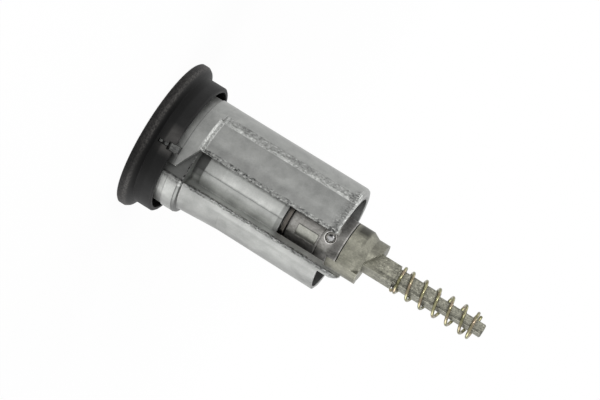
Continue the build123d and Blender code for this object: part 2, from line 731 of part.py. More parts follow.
# Driver: stem in the plug's socket, round body with a slanted rear, side dog and the stepped square shank
with BuildPart() as driver:
    with BuildSketch(Plane.XY.offset(stem_bottom)):
        Circle(stem_radius)
        Rectangle(2 * stem_flat, 2 * plug_radius, mode=Mode.INTERSECT)
    extrude(amount=driver_bottom - stem_bottom)
    with BuildSketch(Plane.XZ):
        with BuildLine():
            Polyline((0, driver_bottom), (driver_radius, driver_bottom), (driver_radius, driver_shoulder),
                     (driver_neck_radius, driver_neck_bottom), (driver_neck_radius, driver_top),
                     (0, driver_top), close=True)
        make_face()
    revolve(axis=Axis.Z)
    with BuildSketch(Plane.XZ):
        with BuildLine():
            Polyline((slant_high_x, driver_top), (slant_low_x, dog_top), (driver_radius + past, dog_top),
                     (driver_radius + past, driver_top + past), (slant_high_x, driver_top + past), close=True)
        make_face()
    extrude(amount=driver_radius + past, both=True, mode=Mode.SUBTRACT)
    # side dog: its own slightly smaller radius, reaching forward into the plug's notch
    with BuildSketch(Plane.XY.offset(driver_bottom)):
        with BuildLine():
            Polyline(sector(driver_radius + past, dog_from_clock, dog_to_clock), close=True)
        make_face()
        Circle(dog_radius, mode=Mode.SUBTRACT)
    extrude(amount=driver_top - driver_bottom, mode=Mode.SUBTRACT)
    with BuildSketch(Plane.XY.offset(dog_bottom)):
        with BuildLine():
            Polyline(sector(driver_radius, dog_from_clock, dog_to_clock), close=True)
        make_face()
        Circle(dog_radius, mode=Mode.INTERSECT)
        Circle(dog_root + seating, mode=Mode.SUBTRACT)
    extrude(amount=dog_top - dog_bottom)
    # hole for the ball in the stem
    with BuildSketch(Plane.XZ.offset(ball_centre - ball_radius - seating)):
        with Locations((0, ball_height)):
            Circle(ball_radius + seating)
    extrude(amount=2 * ball_radius, mode=Mode.SUBTRACT)
    # stepped square shank
    step_bottom, step_top = dog_top - past, dog_top
    for side_length, step_length in zip(shank_sides, shank_lengths):
        step_top += step_length
        with BuildSketch(Plane.XY.offset(step_bottom)):
            RectangleRounded(side_length, side_length, shank_round, rotation=shank_turn)
        extrude(amount=step_top - step_bottom)
        step_bottom = step_top
    chamfer(driver.edges().group_by(Axis.Z)[-1], tip_chamfer)
driver.part.label = "driver"
export_step(driver.part, "parts/driver.step")

with BuildPart() as retaining_ball:
    with Locations((0, -ball_centre, ball_height)):
        Sphere(ball_radius)
retaining_ball.part.label = "retaining_ball"
export_step(retaining_ball.part, "parts/retaining_ball.step")

# Tail spring: open coil with closed ends, seated on the shank's first shoulder
tail_stages = ((tail_foot_turns, tail_closed_pitch), (tail_open_turns, tail_open_pitch),
               (tail_head_turns, tail_closed_pitch))
tail_spring = wind_spring(tail_place, tail_radius, wire_corner, tail_stages)
tail_spring.label = "tail_spring"
export_step(tail_spring, "parts/tail_spring.step")
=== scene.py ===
import json
import math

import bpy
from mathutils import Matrix, Vector


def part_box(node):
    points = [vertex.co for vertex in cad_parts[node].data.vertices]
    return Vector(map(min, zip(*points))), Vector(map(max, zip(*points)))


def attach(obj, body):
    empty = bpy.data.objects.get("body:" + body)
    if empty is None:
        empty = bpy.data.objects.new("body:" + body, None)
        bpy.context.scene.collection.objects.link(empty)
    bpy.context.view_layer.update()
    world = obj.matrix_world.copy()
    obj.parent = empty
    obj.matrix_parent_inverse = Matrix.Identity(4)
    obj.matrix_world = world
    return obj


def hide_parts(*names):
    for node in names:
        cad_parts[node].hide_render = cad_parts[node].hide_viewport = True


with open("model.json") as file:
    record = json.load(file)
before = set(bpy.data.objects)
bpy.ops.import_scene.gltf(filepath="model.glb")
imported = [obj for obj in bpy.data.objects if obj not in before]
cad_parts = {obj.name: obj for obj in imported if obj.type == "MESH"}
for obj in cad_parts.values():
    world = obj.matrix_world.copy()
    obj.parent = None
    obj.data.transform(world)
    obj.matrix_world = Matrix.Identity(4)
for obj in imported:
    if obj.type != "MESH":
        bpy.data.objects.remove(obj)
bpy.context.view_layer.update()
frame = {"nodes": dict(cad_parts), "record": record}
nodes = frame["nodes"]

MM = 0.001

# Camera: the lock's axis and origin in its right, down and forward directions, as the photograph shows them
FOCAL_PX = 2200
PHOTO_WIDTH = 600
SENSOR_MM = 36
AXIS_SEEN = Vector((0.8425, 0.52, -0.1405)).normalized()
ORIGIN_SEEN = Vector((-30.93, -15.0, 490.98)) * MM

# Lamps: clock angle round the lock from its open side, rise above the horizon, distance, size, watts
LAMPS = (
    ("front", -25, 15, 0.45, 0.12, 0.6),
    ("low_side", 92, 10, 0.5, 0.45, 2.1),
    ("far_side", -110, 25, 0.6, 0.4, 0.5),
    ("tail", -65, 45, 0.6, 0.25, 0.45),
)
AIM = Vector((0, 0, 0.04))

# Sky and floor. The camera sees the floor as nearly white, and as white from FLOOR_FAR on.
WHITE = (1, 1, 1, 1)
DIFFUSE_SKY = 0.55
FLOOR_TONE = (0.9, 0.9, 0.9, 1)
FLOOR_ROUGHNESS = 0.9
FLOOR_WHITE = 0.94
FLOOR_NEAR, FLOOR_FAR = 0.07, 0.3
FLOOR_RADIUS = 20
FLOOR_SIDES = 96
FLOOR_GAP = 0.02 * MM

# Surfaces
NOISE = (0.3, 0.7)              # where most of a noise's values lie
MIX_COLOUR_INPUTS = (6, 7)      # a mix node's sockets for colours come after those for numbers and vectors
MIX_COLOUR_OUTPUT = 2
AO_SAMPLES = 8
BEVEL_SAMPLES = 6
EDGE_GAIN = 3.0                 # how soon a softened edge gets its full painted highlight
OPEN_EDGE = (0.75, 0.95)        # openness at which painted edge highlights begin to show, and at which they show fully
GRIME_AND_SHADE = (0.95, 0.45)            # the same for grime and painted shade in corners
HOLLOW = (0.75, 0.25)           # the same for light that is lost in hollows
CORNER_REACH = 1.2 * MM         # how far round a point openness is looked for
HOLLOW_REACH = 9 * MM
FINE_GAIN = (0.9, 1.08)         # how far the fine grain darkens and lightens the metal
BROAD_ROUGHNESS = 0.06          # how far the broad mottle and the fine grain move the roughness
FINE_ROUGHNESS = 0.05
BUMP_STRENGTH = 0.8

# Burrs and chips of a raw cast edge, drawn out along the lock
CHIP = 0.38 * MM
CHIP_STRETCH = (1, 1, 0.6)
BRIGHT_CHIPS = (0.58, 0.66)     # where a chip's noise turns bright or dark
DARK_CHIPS = (0.48, 0.38)
CHIP_LIGHTENS = 0.7
CHIP_DARKENS = 0.55
CHIP_RELIEF = 3                 # a chip's height against that of the fine grain

# Places on the sleeve: radii from the lock's axis, heights along it, clock angles in degrees. The rail's and
# the wall's are x and y.
sleeve_low, sleeve_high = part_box("sleeve")
SHELL = -sleeve_low.x
FRONT = sleeve_low.z
PANEL = SHELL - 1.02 * MM
PANEL_SLOPE_CLOCK, PANEL_CLOCK, PANEL_END_CLOCK = -54, -45.3, -5
BAND_REAR = FRONT + 9.9 * MM
BAND_EDGE = 0.95 * MM
RECESS_FLOOR = -SHELL + 1.87 * MM
RAIL_LEFT, RAIL_RIGHT, RAIL_LOW, RAIL_HIGH = -1.35 * MM, 2.1 * MM, 7.45 * MM, 8.3 * MM
RAIL_NOSE = BAND_REAR + 6.5 * MM
POCKET_REAR = BAND_REAR + 2.0 * MM
WAIST = BAND_REAR + 10 * MM
TUBE = 8 * MM
CHANNEL_CLOCKS = (-14, 44)
LOW_CLOCK, LOW_END_CLOCK = 36, 110
SHELL_REAR = FRONT + 44.7 * MM
WALL_FOOT = Vector((5.196, -6.083, 0)) * MM
WALL_LEAN = math.radians(19.3)
LIP = SHELL - 2.2 * MM
SPECK_STRIP = 0.9 * MM
CRISP = 0.05 * MM               # soft end of a mask that stops at a face's own edge

# Places on the other parts
PLUG_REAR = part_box("plug")[1].z
DRIVER_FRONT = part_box("driver")[0].z
SHANK_FOOT = DRIVER_FRONT + 10.45 * MM
SHANK_REACH = 3.35 * MM
CAP_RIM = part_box("bezel_cap")[1].x
CAP_CORNER_REACH = 4 * MM
ball_low, ball_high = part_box("retaining_ball")
BALL = (ball_low + ball_high) / 2
BALL_RADIUS = ball_high.z - BALL.z

# Tail spring: closed turns at its foot and head, open ones between them
SPRING_WIRE = 0.38 * MM
CLOSED_PITCH = 0.8 * MM
FOOT_TURNS = 1.1
OPEN_TURNS = 5.35
HEAD_TURNS = 1
START_CLOCK = 75
STEPS_PER_TURN = 36
WIRE_ROUNDNESS = 5


def about(place, start, end, *soft):
    """Limits for a mask, in millimetres from a place."""
    return (place + start * MM, place + end * MM, *(width * MM for width in soft))


def grey(value, warm=0.0):
    """A grey, warmer by a small share."""
    return (value * (1 + warm), value, value * (1 - warm))


class Nodes:
    """A node tree under construction, with short ways to add the nodes that this scene uses.

    A value for a node is a number, a colour or another node's output.
    """

    def __init__(self, tree):
        self.tree = tree

    def put(self, value, target):
        """Link an output to an input, or set the input to a constant."""
        if isinstance(value, bpy.types.NodeSocket):
            self.tree.links.new(value, target)
        else:
            target.default_value = value

    def fill(self, node, **inputs):
        """Put values into a node's inputs. Underscores in their names stand for spaces."""
        for name, value in inputs.items():
            self.put(value, node.inputs[name.replace("_", " ")])
        return node

    def add(self, kind, **inputs):
        return self.fill(self.tree.nodes.new(kind), **inputs)

    def maths(self, kind, first, second=0.0, clamp=False):
        node = self.add("ShaderNodeMath")
        node.operation = kind
        node.use_clamp = clamp
        self.put(first, node.inputs[0])
        self.put(second, node.inputs[1])
        return node.outputs[0]

    def span(self, value, start, end, to_start=0.0, to_end=1.0):
        """A ramp between two values, flat before its start and behind its end."""
        node = self.add("ShaderNodeMapRange", Value=value, From_Min=start, From_Max=end, To_Min=to_start,
                        To_Max=to_end)
        return node.outputs["Result"]

    def seen_ray(self):
        """1 for camera, glossy and transmission rays, otherwise 0."""
        rays = self.add("ShaderNodeLightPath").outputs
        seen = self.maths("MAXIMUM", rays["Is Camera Ray"], rays["Is Glossy Ray"])
        return self.maths("MAXIMUM", seen, rays["Is Transmission Ray"])

    def blend(self, share, first, second):
        """One surface or background that turns into another as the share goes from 0 to 1."""
        node = self.add("ShaderNodeMixShader", Fac=share)
        self.put(first.outputs[0], node.inputs[1])
        self.put(second.outputs[0], node.inputs[2])
        return node.outputs[0]


class Shader(Nodes):
    """A material under construction.

    It knows each point's place: x, y, z, the radius from the lock's axis, and the clock, which is the angle
    about that axis in degrees, from the open side (-Y) toward +X.
    """

    def __init__(self, name):
        self.material = bpy.data.materials.new(name)
        self.material.use_nodes = True
        super().__init__(self.material.node_tree)
        self.bsdf = self.tree.nodes["Principled BSDF"]
        self.place = self.add("ShaderNodeTexCoord").outputs["Object"]
        self.x, self.y, self.z = self.add("ShaderNodeSeparateXYZ", Vector=self.place).outputs
        self.radius = self.length(self.x, self.y)
        angle = self.maths("ARCTAN2", self.x, self.maths("MULTIPLY", self.y, -1.0))
        self.clock = self.maths("MULTIPLY", angle, 180 / math.pi)

    def length(self, first, second):
        squares = self.maths("ADD", self.all_of(first, first), self.all_of(second, second))
        return self.maths("SQRT", squares)

    def noise(self, size, detail, roughness, place=None):
        node = self.add("ShaderNodeTexNoise", Scale=1 / size, Detail=detail, Roughness=roughness,
                        Vector=place or self.place)
        return node.outputs["Fac"]

    def patchy(self, size, detail, roughness, start, end, least):
        """A noise as a mask that never falls under its least value."""
        return self.span(self.noise(size, detail, roughness), start, end, least, 1)

    def mix(self, share, first, second):
        """A colour that turns into another as the share goes from 0 to 1."""
        node = self.add("ShaderNodeMix")
        node.data_type = "RGBA"
        self.put(share, node.inputs["Factor"])
        for value, index in zip((first, second), MIX_COLOUR_INPUTS):
            is_socket = isinstance(value, bpy.types.NodeSocket)
            self.put(value if is_socket else (*value, 1), node.inputs[index])
        return node.outputs[MIX_COLOUR_OUTPUT]

    def all_of(self, first, *others):
        for other in others:
            first = self.maths("MULTIPLY", first, other)
        return first

    def none_of(self, mask):
        return self.maths("SUBTRACT", 1.0, mask)

    def window(self, value, low, high, soft):
        """1 between two limits and 0 outside them, with soft ends."""
        rise = self.span(value, low - soft / 2, low + soft / 2)
        fall = self.span(value, high - soft / 2, high + soft / 2, 1, 0)
        return self.all_of(rise, fall)

    def mask(self, *masks, **limits):
        """1 where all masks are 1 and all limits hold.

        A limit names the place that it is for: two numbers are where its ramp is 0 and 1, three are a window.
        """
        parts = list(masks)
        for name, limit in limits.items():
            shape = self.span if len(limit) == 2 else self.window
            parts.append(shape(getattr(self, name), *limit))
        return self.all_of(*parts)

    def times(self, value, mask, amount):
        """The value, multiplied by an amount where the mask is 1."""
        return self.maths("MULTIPLY", value, self.span(mask, 0, 1, 1, amount))

    def scaled(self, tone, gain):
        node = self.add("ShaderNodeVectorMath")
        node.operation = "SCALE"
        self.put(tone, node.inputs[0])
        self.put(gain, node.inputs["Scale"])
        return node.outputs["Vector"]

    def openness(self, distance):
        """1 on an open surface, lower in corners and crevices."""
        node = self.add("ShaderNodeAmbientOcclusion", Distance=distance)
        node.samples = AO_SAMPLES
        return node.outputs["AO"]

    def rounded(self, radius):
        """The normal, as if outer and inner edges were rounded."""
        node = self.add("ShaderNodeBevel", Radius=radius)
        node.samples = BEVEL_SAMPLES
        return node.outputs["Normal"]

    def bump(self, height, depth, strength, normal):
        node = self.add("ShaderNodeBump", Height=height, Distance=depth, Strength=strength, Normal=normal)
        return node.outputs["Normal"]


class Metal(Shader):
    """Cast or worked metal: mottled tone, fine grain, softened edges with painted highlights, grime and painted
    shade in corners, and painted shade in hollows.
    """

    def __init__(self, name, light, dark, metallic, rough, mottle=3 * MM, grain=0.25 * MM, relief=0.01 * MM,
                 edge=0.15 * MM, edge_gain=1.5, corner=0.6):
        super().__init__(name)
        self.metallic, self.rough, self.relief = metallic, rough, relief
        self.edge_gain, self.corner = edge_gain, corner
        self.broad = self.noise(mottle, 4, 0.6)
        self.fine = self.noise(grain, 3, 0.6)
        self.chips = self.noise(CHIP, 2, 0.7, self.stretched(CHIP_STRETCH))
        self.tone = self.mix(self.span(self.broad, *NOISE), dark, light)
        self.gain = self.span(self.fine, *NOISE, *FINE_GAIN)
        self.height = self.fine
        self.soft = self.rounded(edge)
        open_share = self.openness(CORNER_REACH)
        # Grime and painted shade darken corners; a painted highlight lightens outer edges
        self.grime_and_shade = self.span(open_share, *GRIME_AND_SHADE)
        self.edge = self.edge_highlights(open_share)

    def stretched(self, scale):
        return self.add("ShaderNodeMapping", Scale=scale, Vector=self.place).outputs["Vector"]

    def edge_highlights(self, open_share):
        """Painted highlight beside an outer edge: high where the rounded normal leaves the true one on an open
        surface.
        """
        node = self.add("ShaderNodeVectorMath")
        node.operation = "DOT_PRODUCT"
        self.put(self.add("ShaderNodeNewGeometry").outputs["Normal"], node.inputs[0])
        self.put(self.soft, node.inputs[1])
        turned = self.maths("MULTIPLY", self.none_of(node.outputs["Value"]), EDGE_GAIN, clamp=True)
        return self.all_of(turned, self.span(open_share, *OPEN_EDGE))

    def tint(self, *patches):
        """Lighten or darken the metal: each patch is a mask and an amount to multiply by."""
        for mask, amount in patches:
            self.gain = self.times(self.gain, mask, amount)

    def speckle(self, mask, amount=1.0):
        """Small bright and dark specks, as of burrs and chips, where the mask is 1."""
        bright = self.all_of(self.span(self.chips, *BRIGHT_CHIPS), mask)
        dark = self.all_of(self.span(self.chips, *DARK_CHIPS), mask)
        self.tint((dark, 1 - CHIP_DARKENS * amount), (bright, 1 + CHIP_LIGHTENS * amount))
        relief = self.all_of(self.chips, mask, CHIP_RELIEF * amount)
        self.height = self.maths("ADD", self.height, relief)

    def dim_hollows(self, mask, amount):
        """Lose light in deep hollows, where the mask is 1."""
        self.tint((self.all_of(self.span(self.openness(HOLLOW_REACH), *HOLLOW), mask), amount))

    def spare(self, mask):
        """Keep the grime and painted corner shade off where the mask is 1."""
        self.grime_and_shade = self.times(self.grime_and_shade, mask, 0)

    def finish(self):
        """Join tone, gain and grain in the surface."""
        # Painted shade with grime in corners, and painted highlights along outer edges
        self.tint((self.grime_and_shade, self.corner), (self.edge, self.edge_gain))
        broad = self.span(self.broad, *NOISE, self.rough - BROAD_ROUGHNESS, self.rough + BROAD_ROUGHNESS)
        fine = self.span(self.fine, *NOISE, -FINE_ROUGHNESS, FINE_ROUGHNESS)
        self.fill(self.bsdf, Base_Color=self.scaled(self.tone, self.gain), Metallic=self.metallic,
                  Roughness=self.maths("ADD", broad, fine),
                  Normal=self.bump(self.height, self.relief, BUMP_STRENGTH, self.soft))
        return self.material


def shade_rail(s, on_rail):
    """The rail on the channel's floor, lighter for its machined finish and for a painted reflection, its duller
    nose, and the rough lines along both of its sides.
    """
    nose = s.mask(on_rail, z=about(RAIL_NOSE, 0.1, -0.1))
    drop = s.mask(on_rail, s.patchy(1.2 * MM, 3, 0.7, 0.35, 0.55, 0.3), x=about(RAIL_LEFT, 0.75, 0.35))
    seam = s.mask(on_rail, s.patchy(2 * MM, 3, 0.7, 0.4, 0.55, 0.3), x=about(RAIL_RIGHT, -0.4, -0.1))
    # The rail is lighter for its machined finish and for a painted reflection of the lamp
    s.tint((on_rail, 1.7), (nose, 0.9), (drop, 0.45), (seam, 0.55))


def shade_channel(s, on_rail, near_side):
    """The recess in the band and the deep front end of the channel behind it, both in painted shade, and the
    darker end of the tube.
    """
    recess = s.mask(x=about(0, -3, -2.6), y=about(RECESS_FLOOR, -0.1, 0.1, 0.05),
                    z=(FRONT, BAND_REAR - 0.1 * MM, CRISP), radius=about(SHELL, -0.1, -0.2))
    on_tube = s.mask(near_side, radius=about(TUBE, 0.6, 0.3))
    floor = s.mask(on_tube, s.none_of(on_rail))
    pocket = s.mask(floor, z=about(POCKET_REAR, 3, 0), x=about(0, 3.2, 2.2))
    pocket_front = s.mask(floor, z=about(POCKET_REAR, 0.1, -0.3), x=about(0, 4.2, 3.4))
    tube_end = s.mask(on_tube, z=about(WAIST, 11.3, 12.5, 0.3))
    # Painted shade on the recess and on the deep front end of the channel; the tube's end darker
    s.tint((recess, 0.3), (pocket, 0.6), (pocket_front, 0.42), (tube_end, 0.62))
    s.speckle(s.mask(recess, z=about(BAND_REAR, -0.6, -0.4)), 2)


def shade_inside(s):
    """Painted shade on the inside of the shell, away from the channel."""
    off_channel = s.none_of(s.window(s.clock, *CHANNEL_CLOCKS, 3))
    inside = s.mask(off_channel, radius=about(PANEL, -0.5, -0.8))
    # Painted shade inside the shell, and more in its deep hollows
    s.tint((inside, 0.6))
    s.dim_hollows(inside, 0.35)


def shade_panel(s):
    """The recessed panel, with painted shade beside the channel, and its rough slope with painted light on its
    front wall and painted highlights in lines along foot and top.
    """
    on_panel = s.mask(radius=about(PANEL, -0.1, 0.04, 0.02), clock=(PANEL_CLOCK, PANEL_END_CLOCK, 0.3),
                      z=about(BAND_REAR, 0, 0.1))
    shade_by_channel = s.mask(on_panel, clock=(-20, -9, 6))
    on_slope = s.mask(radius=(PANEL + 0.04 * MM, SHELL - 0.06 * MM, 0.04 * MM),
                      clock=(PANEL_SLOPE_CLOCK, PANEL_END_CLOCK, 0.3), z=about(BAND_REAR, -0.6, -0.5))
    front_wall = s.mask(on_slope, z=about(BAND_REAR, 1.1, 0.9))
    foot_highlight = s.mask(on_slope, s.patchy(5 * MM, 2, 0.5, 0.36, 0.6, 0.25), radius=about(PANEL, 0.34, 0.22),
                       clock=(-42, -43.5))
    top_highlight = s.mask(front_wall, clock=(-41, -11, 8), z=about(BAND_REAR, -0.5, -0.05, 0.15))
    wall_gap = s.mask(front_wall, z=about(BAND_REAR, 0, 0.5, 0.2))
    # Painted shade beside the channel, painted light on the front wall, painted highlights along the slope's
    # foot and the wall's top
    s.tint((on_panel, 0.85), (shade_by_channel, 0.75), (on_slope, 0.8), (front_wall, 1.5), (foot_highlight, 1.6),
           (top_highlight, 1.5), (wall_gap, 0.72))
    s.speckle(on_slope, 0.75)


def shade_band(s):
    """The front band: darker on the near side, with a painted shadow of the cap's collar on its tip, painted
    light below, and painted shade on the step behind it and on the shell past the step.
    """
    on_band = s.mask(z=about(BAND_REAR, 0, -0.3), radius=about(SHELL, -0.4, -0.3))
    near_band = s.mask(on_band, clock=(-42, LOW_CLOCK - 4, 14))
    lip_band = s.mask(on_band, clock=(LOW_CLOCK - 9, LOW_CLOCK - 2, 3))
    low_band = s.mask(on_band, clock=(LOW_CLOCK, LOW_CLOCK + 20, 6))
    collar_shadow = s.mask(on_band, clock=(9, 26, 6), z=about(BAND_REAR, -3, -4.2))
    low_step = s.mask(clock=(LOW_CLOCK, LOW_END_CLOCK, 2), radius=about(SHELL, -1.1, -1),
                      z=(BAND_REAR - BAND_EDGE, BAND_REAR + 0.1 * MM, CRISP))
    behind_step = s.mask(clock=(LOW_CLOCK - 6, LOW_END_CLOCK, 6), z=about(BAND_REAR, 0, 5, 3))
    # Painted shadow of the collar on the tip, painted light below, painted shade on the step and past it
    s.tint((near_band, 0.76), (lip_band, 0.7), (low_band, 1.3), (collar_shadow, 0.32), (low_step, 0.36),
           (behind_step, 0.75))
    s.speckle(lip_band)
    s.spare(s.mask(z=about(BAND_REAR, 0, -0.3), radius=about(SHELL, -0.5, -0.4)))


def shade_low_wall(s):
    """The thinner wall below the channel: painted shade before its waist and painted light behind it, where a
    lamp's reflection ends, and darker further back.
    """
    thin_wall = s.mask(radius=about(SHELL, -2.1, -2))
    waist_front = s.mask(thin_wall, clock=(34, 58, 10), z=about(WAIST, -6, -1, 3))
    waist_rear = s.mask(thin_wall, clock=(44, 72, 12), z=about(WAIST, -0.05, 0.05))
    wall_rear = s.mask(thin_wall, clock=(32, 72, 8), z=about(WAIST, 12, 24))
    # Painted shade before the waist, painted light behind it
    s.tint((waist_front, 0.87), (waist_rear, 1.3), (wall_rear, 0.72))
    s.spare(s.mask(thin_wall, clock=(LOW_CLOCK, LOW_END_CLOCK, 2), z=about(BAND_REAR, -0.3, 1.2, 0.2)))


def shade_ends(s):
    """The lug in the cap's slot, and the rear end with the marks of the casting's edge and a painted highlight
    on its rim.
    """
    on_lug = s.mask(radius=about(SHELL, 0.02, 0.06))
    at_rear = s.mask(z=about(SHELL_REAR, -2.8, -1.2), clock=(-62, -7, 4), radius=about(PANEL, -0.3, -0.2))
    rear_rim_highlight = s.mask(z=about(SHELL_REAR, -0.45, -0.35), clock=(-60, -8, 3))
    # Painted highlight on the rear rim
    s.tint((on_lug, 0.45), (at_rear, 0.85), (rear_rim_highlight, 1.9))
    s.speckle(on_lug)
    s.speckle(at_rear, 0.9)


def shade_channel_sides(s, near_side):
    """The slanted wall in painted light, with its raw lip, painted light on the tube beside the rail, and the
    raw edge on the panel's side.
    """
    along = s.maths("MULTIPLY", s.maths("SUBTRACT", s.x, WALL_FOOT.x), math.cos(WALL_LEAN))
    outward = s.maths("MULTIPLY", s.maths("SUBTRACT", WALL_FOOT.y, s.y), math.sin(WALL_LEAN))
    s.past_wall = s.maths("SUBTRACT", along, outward)
    on_wall = s.mask(near_side, past_wall=about(0, -0.3, 0.05, 0.1), radius=about(TUBE, 0, 0.3),
                     z=about(BAND_REAR, 0, 0.5))
    wall_lip = s.mask(on_wall, radius=about(LIP, -0.8, -0.4))
    beside_rail = s.mask(near_side, radius=about(TUBE, 0.5, 0.2), x=about(RAIL_RIGHT, 0, 0.2),
                         z=about(BAND_REAR, 0, 0.5))
    left_edge = s.mask(near_side, x=(RAIL_LEFT - SPECK_STRIP, RAIL_LEFT + 0.2 * MM, 0.3 * MM),
                       radius=about(PANEL, -1.5, -0.2), z=about(BAND_REAR, 0, 0.2))
    right_edge = s.mask(near_side, past_wall=(-0.3 * MM, SPECK_STRIP * 0.75, 0.3 * MM),
                        radius=about(LIP, -0.4, 0), z=about(BAND_REAR, 0, 1.5))
    # Painted light on the slanted wall and on the tube beside the rail
    s.tint((on_wall, 1.6), (wall_lip, 0.8), (beside_rail, 1.6), (left_edge, 0.8), (right_edge, 0.6))
    for raw in (wall_lip, left_edge, right_edge):
        s.speckle(raw, 1.5)


def sleeve_zinc():
    s = Metal("sleeve_zinc", (0.36, 0.365, 0.352), (0.26, 0.265, 0.256), 0.85, 0.42, corner=0.75)
    near_side = s.mask(y=about(0, 0, -3))
    on_rail = s.mask(x=(RAIL_LEFT, RAIL_RIGHT, CRISP), y=(-RAIL_HIGH, -RAIL_LOW, CRISP),
                     z=(POCKET_REAR, sleeve_high.z, CRISP))
    shade_rail(s, on_rail)
    shade_channel(s, on_rail, near_side)
    shade_inside(s)
    shade_panel(s)
    shade_band(s)
    shade_low_wall(s)
    shade_ends(s)
    shade_channel_sides(s, near_side)
    return s.finish()


def from_ball(s):
    """Distance from the ball's middle, as seen from its open side."""
    return s.length(s.maths("SUBTRACT", s.x, BALL.x), s.maths("SUBTRACT", s.z, BALL.z))


def plug_zinc():
    """The plug: painted shade on its lower side, darker at its rear, with a painted highlight on its rear rim,
    painted light in the ball's seat, and a staked ring at the ball.
    """
    s = Metal("plug_zinc", (0.46, 0.45, 0.43), (0.3, 0.29, 0.27), 0.85, 0.42, mottle=1.2 * MM)
    s.from_ball = from_ball(s)
    low_side = s.mask(x=about(0, 1.8, 3.2))
    rear = s.mask(z=about(PLUG_REAR, -3, -2))
    rear_rim_highlight = s.mask(z=about(PLUG_REAR, -0.35, -0.3))
    ball_seat_light = s.mask(from_ball=about(BALL_RADIUS, 0.2, 0.1))
    ball_ring = s.mask(from_ball=about(BALL_RADIUS, 0.2, 0.55, 0.2))
    # Painted shade on the lower side, painted highlight on the rear rim, painted light in the ball's shaded
    # seat
    s.tint((low_side, 0.8), (rear, 0.4), (rear_rim_highlight, 2), (ball_seat_light, 3.5), (ball_ring, 1.1))
    s.speckle(1.0, 0.4)
    return s.finish()


def driver_zinc():
    """The driver: painted shade on its body's top and slant, darker near and lower sides, and painted shade on
    the shank's faces with a darker line along their corner.
    """
    s = Metal("driver_zinc", (0.31, 0.305, 0.25), (0.2, 0.197, 0.16), 0.8, 0.47, mottle=2 * MM, edge_gain=1.4,
              corner=0.9)
    on_body = s.mask(z=about(SHANK_FOOT, 0, -0.2))
    near_side = s.mask(on_body, clock=(-14, 3, 8), z=about(DRIVER_FRONT, 3, 4))
    low_side = s.mask(on_body, clock=(20, 45))
    patch = s.mask(clock=(-85, -42, 14), z=about(SHANK_FOOT, -4.8, -2, 1.2))
    slant = s.mask(z=about(SHANK_FOOT, -2.6, -2.3), clock=(-12, -20), radius=about(SHANK_REACH, -0.1, 0))
    thin = s.mask(radius=about(SHANK_REACH, 0, -0.1))
    on_shank = s.mask(thin, z=about(SHANK_FOOT, 0.8, 3.5))
    upper_face = s.mask(on_shank, clock=(22.5, 19.5))
    face_edge = s.mask(on_shank, clock=(8, 21, 4))
    lower_face = s.mask(thin, z=about(SHANK_FOOT, -0.5, 0), clock=(20.5, 22.5))
    # Painted shade on the body's top and slant and on the shank's faces; near side, lower side and corner
    # darker
    s.tint((near_side, 0.78), (low_side, 0.62), (patch, 0.24), (slant, 0.72), (upper_face, 0.85),
           (face_edge, 0.6), (lower_face, 0.72))
    s.speckle(1.0, 0.3)
    s.speckle(on_shank, 0.6)
    return s.finish()


def slider_steel():
    """The slider's plated steel, with painted shade toward its lower side."""
    s = Metal("slider_steel", (0.55, 0.55, 0.5), (0.36, 0.36, 0.32), 0.9, 0.38, mottle=1 * MM, edge=0.12 * MM,
              edge_gain=2)
    low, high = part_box("slider")
    width = high.x - low.x
    # Painted shade toward the lower side
    s.tint((s.mask(x=(low.x + 0.6 * width, low.x + 0.85 * width)), 0.25))
    return s.finish()


def bright_steel():
    """Worn steel ball, with painted light round its edge, where its sides lie in shade inside the plug's hole.
    """
    s = Metal("bright_steel", grey(0.56), grey(0.36), 1.0, 0.28, edge=0.05 * MM, relief=0.001 * MM, corner=0.9)
    # Painted light on the ball's shaded sides
    s.tint((s.span(from_ball(s), 0.7 * BALL_RADIUS, 0.85 * BALL_RADIUS), 2.8))
    return s.finish()


def plated_wire():
    """Passivated wire, from olive to a faint pink."""
    s = Metal("plated_spring", (0.36, 0.345, 0.2), (0.085, 0.083, 0.045), 1.0, 0.2, mottle=1.2 * MM,
              edge=0.05 * MM, relief=0.002 * MM)
    s.tone = s.mix(s.span(s.noise(2.2 * MM, 2, 0.5), 0.5, 0.62), s.tone, (0.28, 0.225, 0.16))
    return s.finish()


def plain_metal(name, light, dark, metallic, rough, **details):
    return Metal(name, light, dark, metallic, rough, **details).finish()


def cap_plastic():
    """Moulded plastic: near-black, with a fine grain, lighter along the rim, a lighter patch round the lug's
    slot, painted shade in crevices and at the flange's root, and darker on one side of the collar.
    """
    s = Shader("cap_plastic")
    broad, fine, coarse = s.noise(4 * MM, 4, 0.6), s.noise(0.14 * MM, 2, 0.5), s.noise(0.45 * MM, 3, 0.7)
    rim = s.mask(s.span(coarse, 0.4, 0.6, 0.1, 1), radius=about(CAP_RIM, -0.9, -0.3))
    # A lighter patch round the lug's slot
    light_patch = s.mask(s.span(broad, 0.3, 0.6, 0.4, 1), clock=(-10, 12, 7), z=about(0, 4, 8, 2))
    tone = s.mix(s.span(broad, 0.35, 0.7), grey(0.006), grey(0.012))
    tone = s.mix(rim, tone, grey(0.055, 0.06))
    tone = s.mix(light_patch, tone, grey(0.06, 0.04))
    # Painted shade in crevices and at the flange's root beside the collar; darker at clocks 14 to 40
    gain = s.span(s.openness(CAP_CORNER_REACH), 0.6, 0.95, 0.3, 1)
    gain = s.times(gain, s.mask(clock=(14, 40, 10)), 0.45)
    gain = s.times(gain, s.mask(radius=about(CAP_RIM, -2.3, -1.1, 0.5), z=about(0, 5, 4.5)), 0.2)
    s.fill(s.bsdf, Base_Color=s.scaled(tone, gain), Roughness=s.span(fine, *NOISE, 0.46, 0.6),
           Specular_IOR_Level=0.16, Normal=s.bump(fine, 0.01 * MM, 0.7, s.rounded(0.25 * MM)))
    return s.material


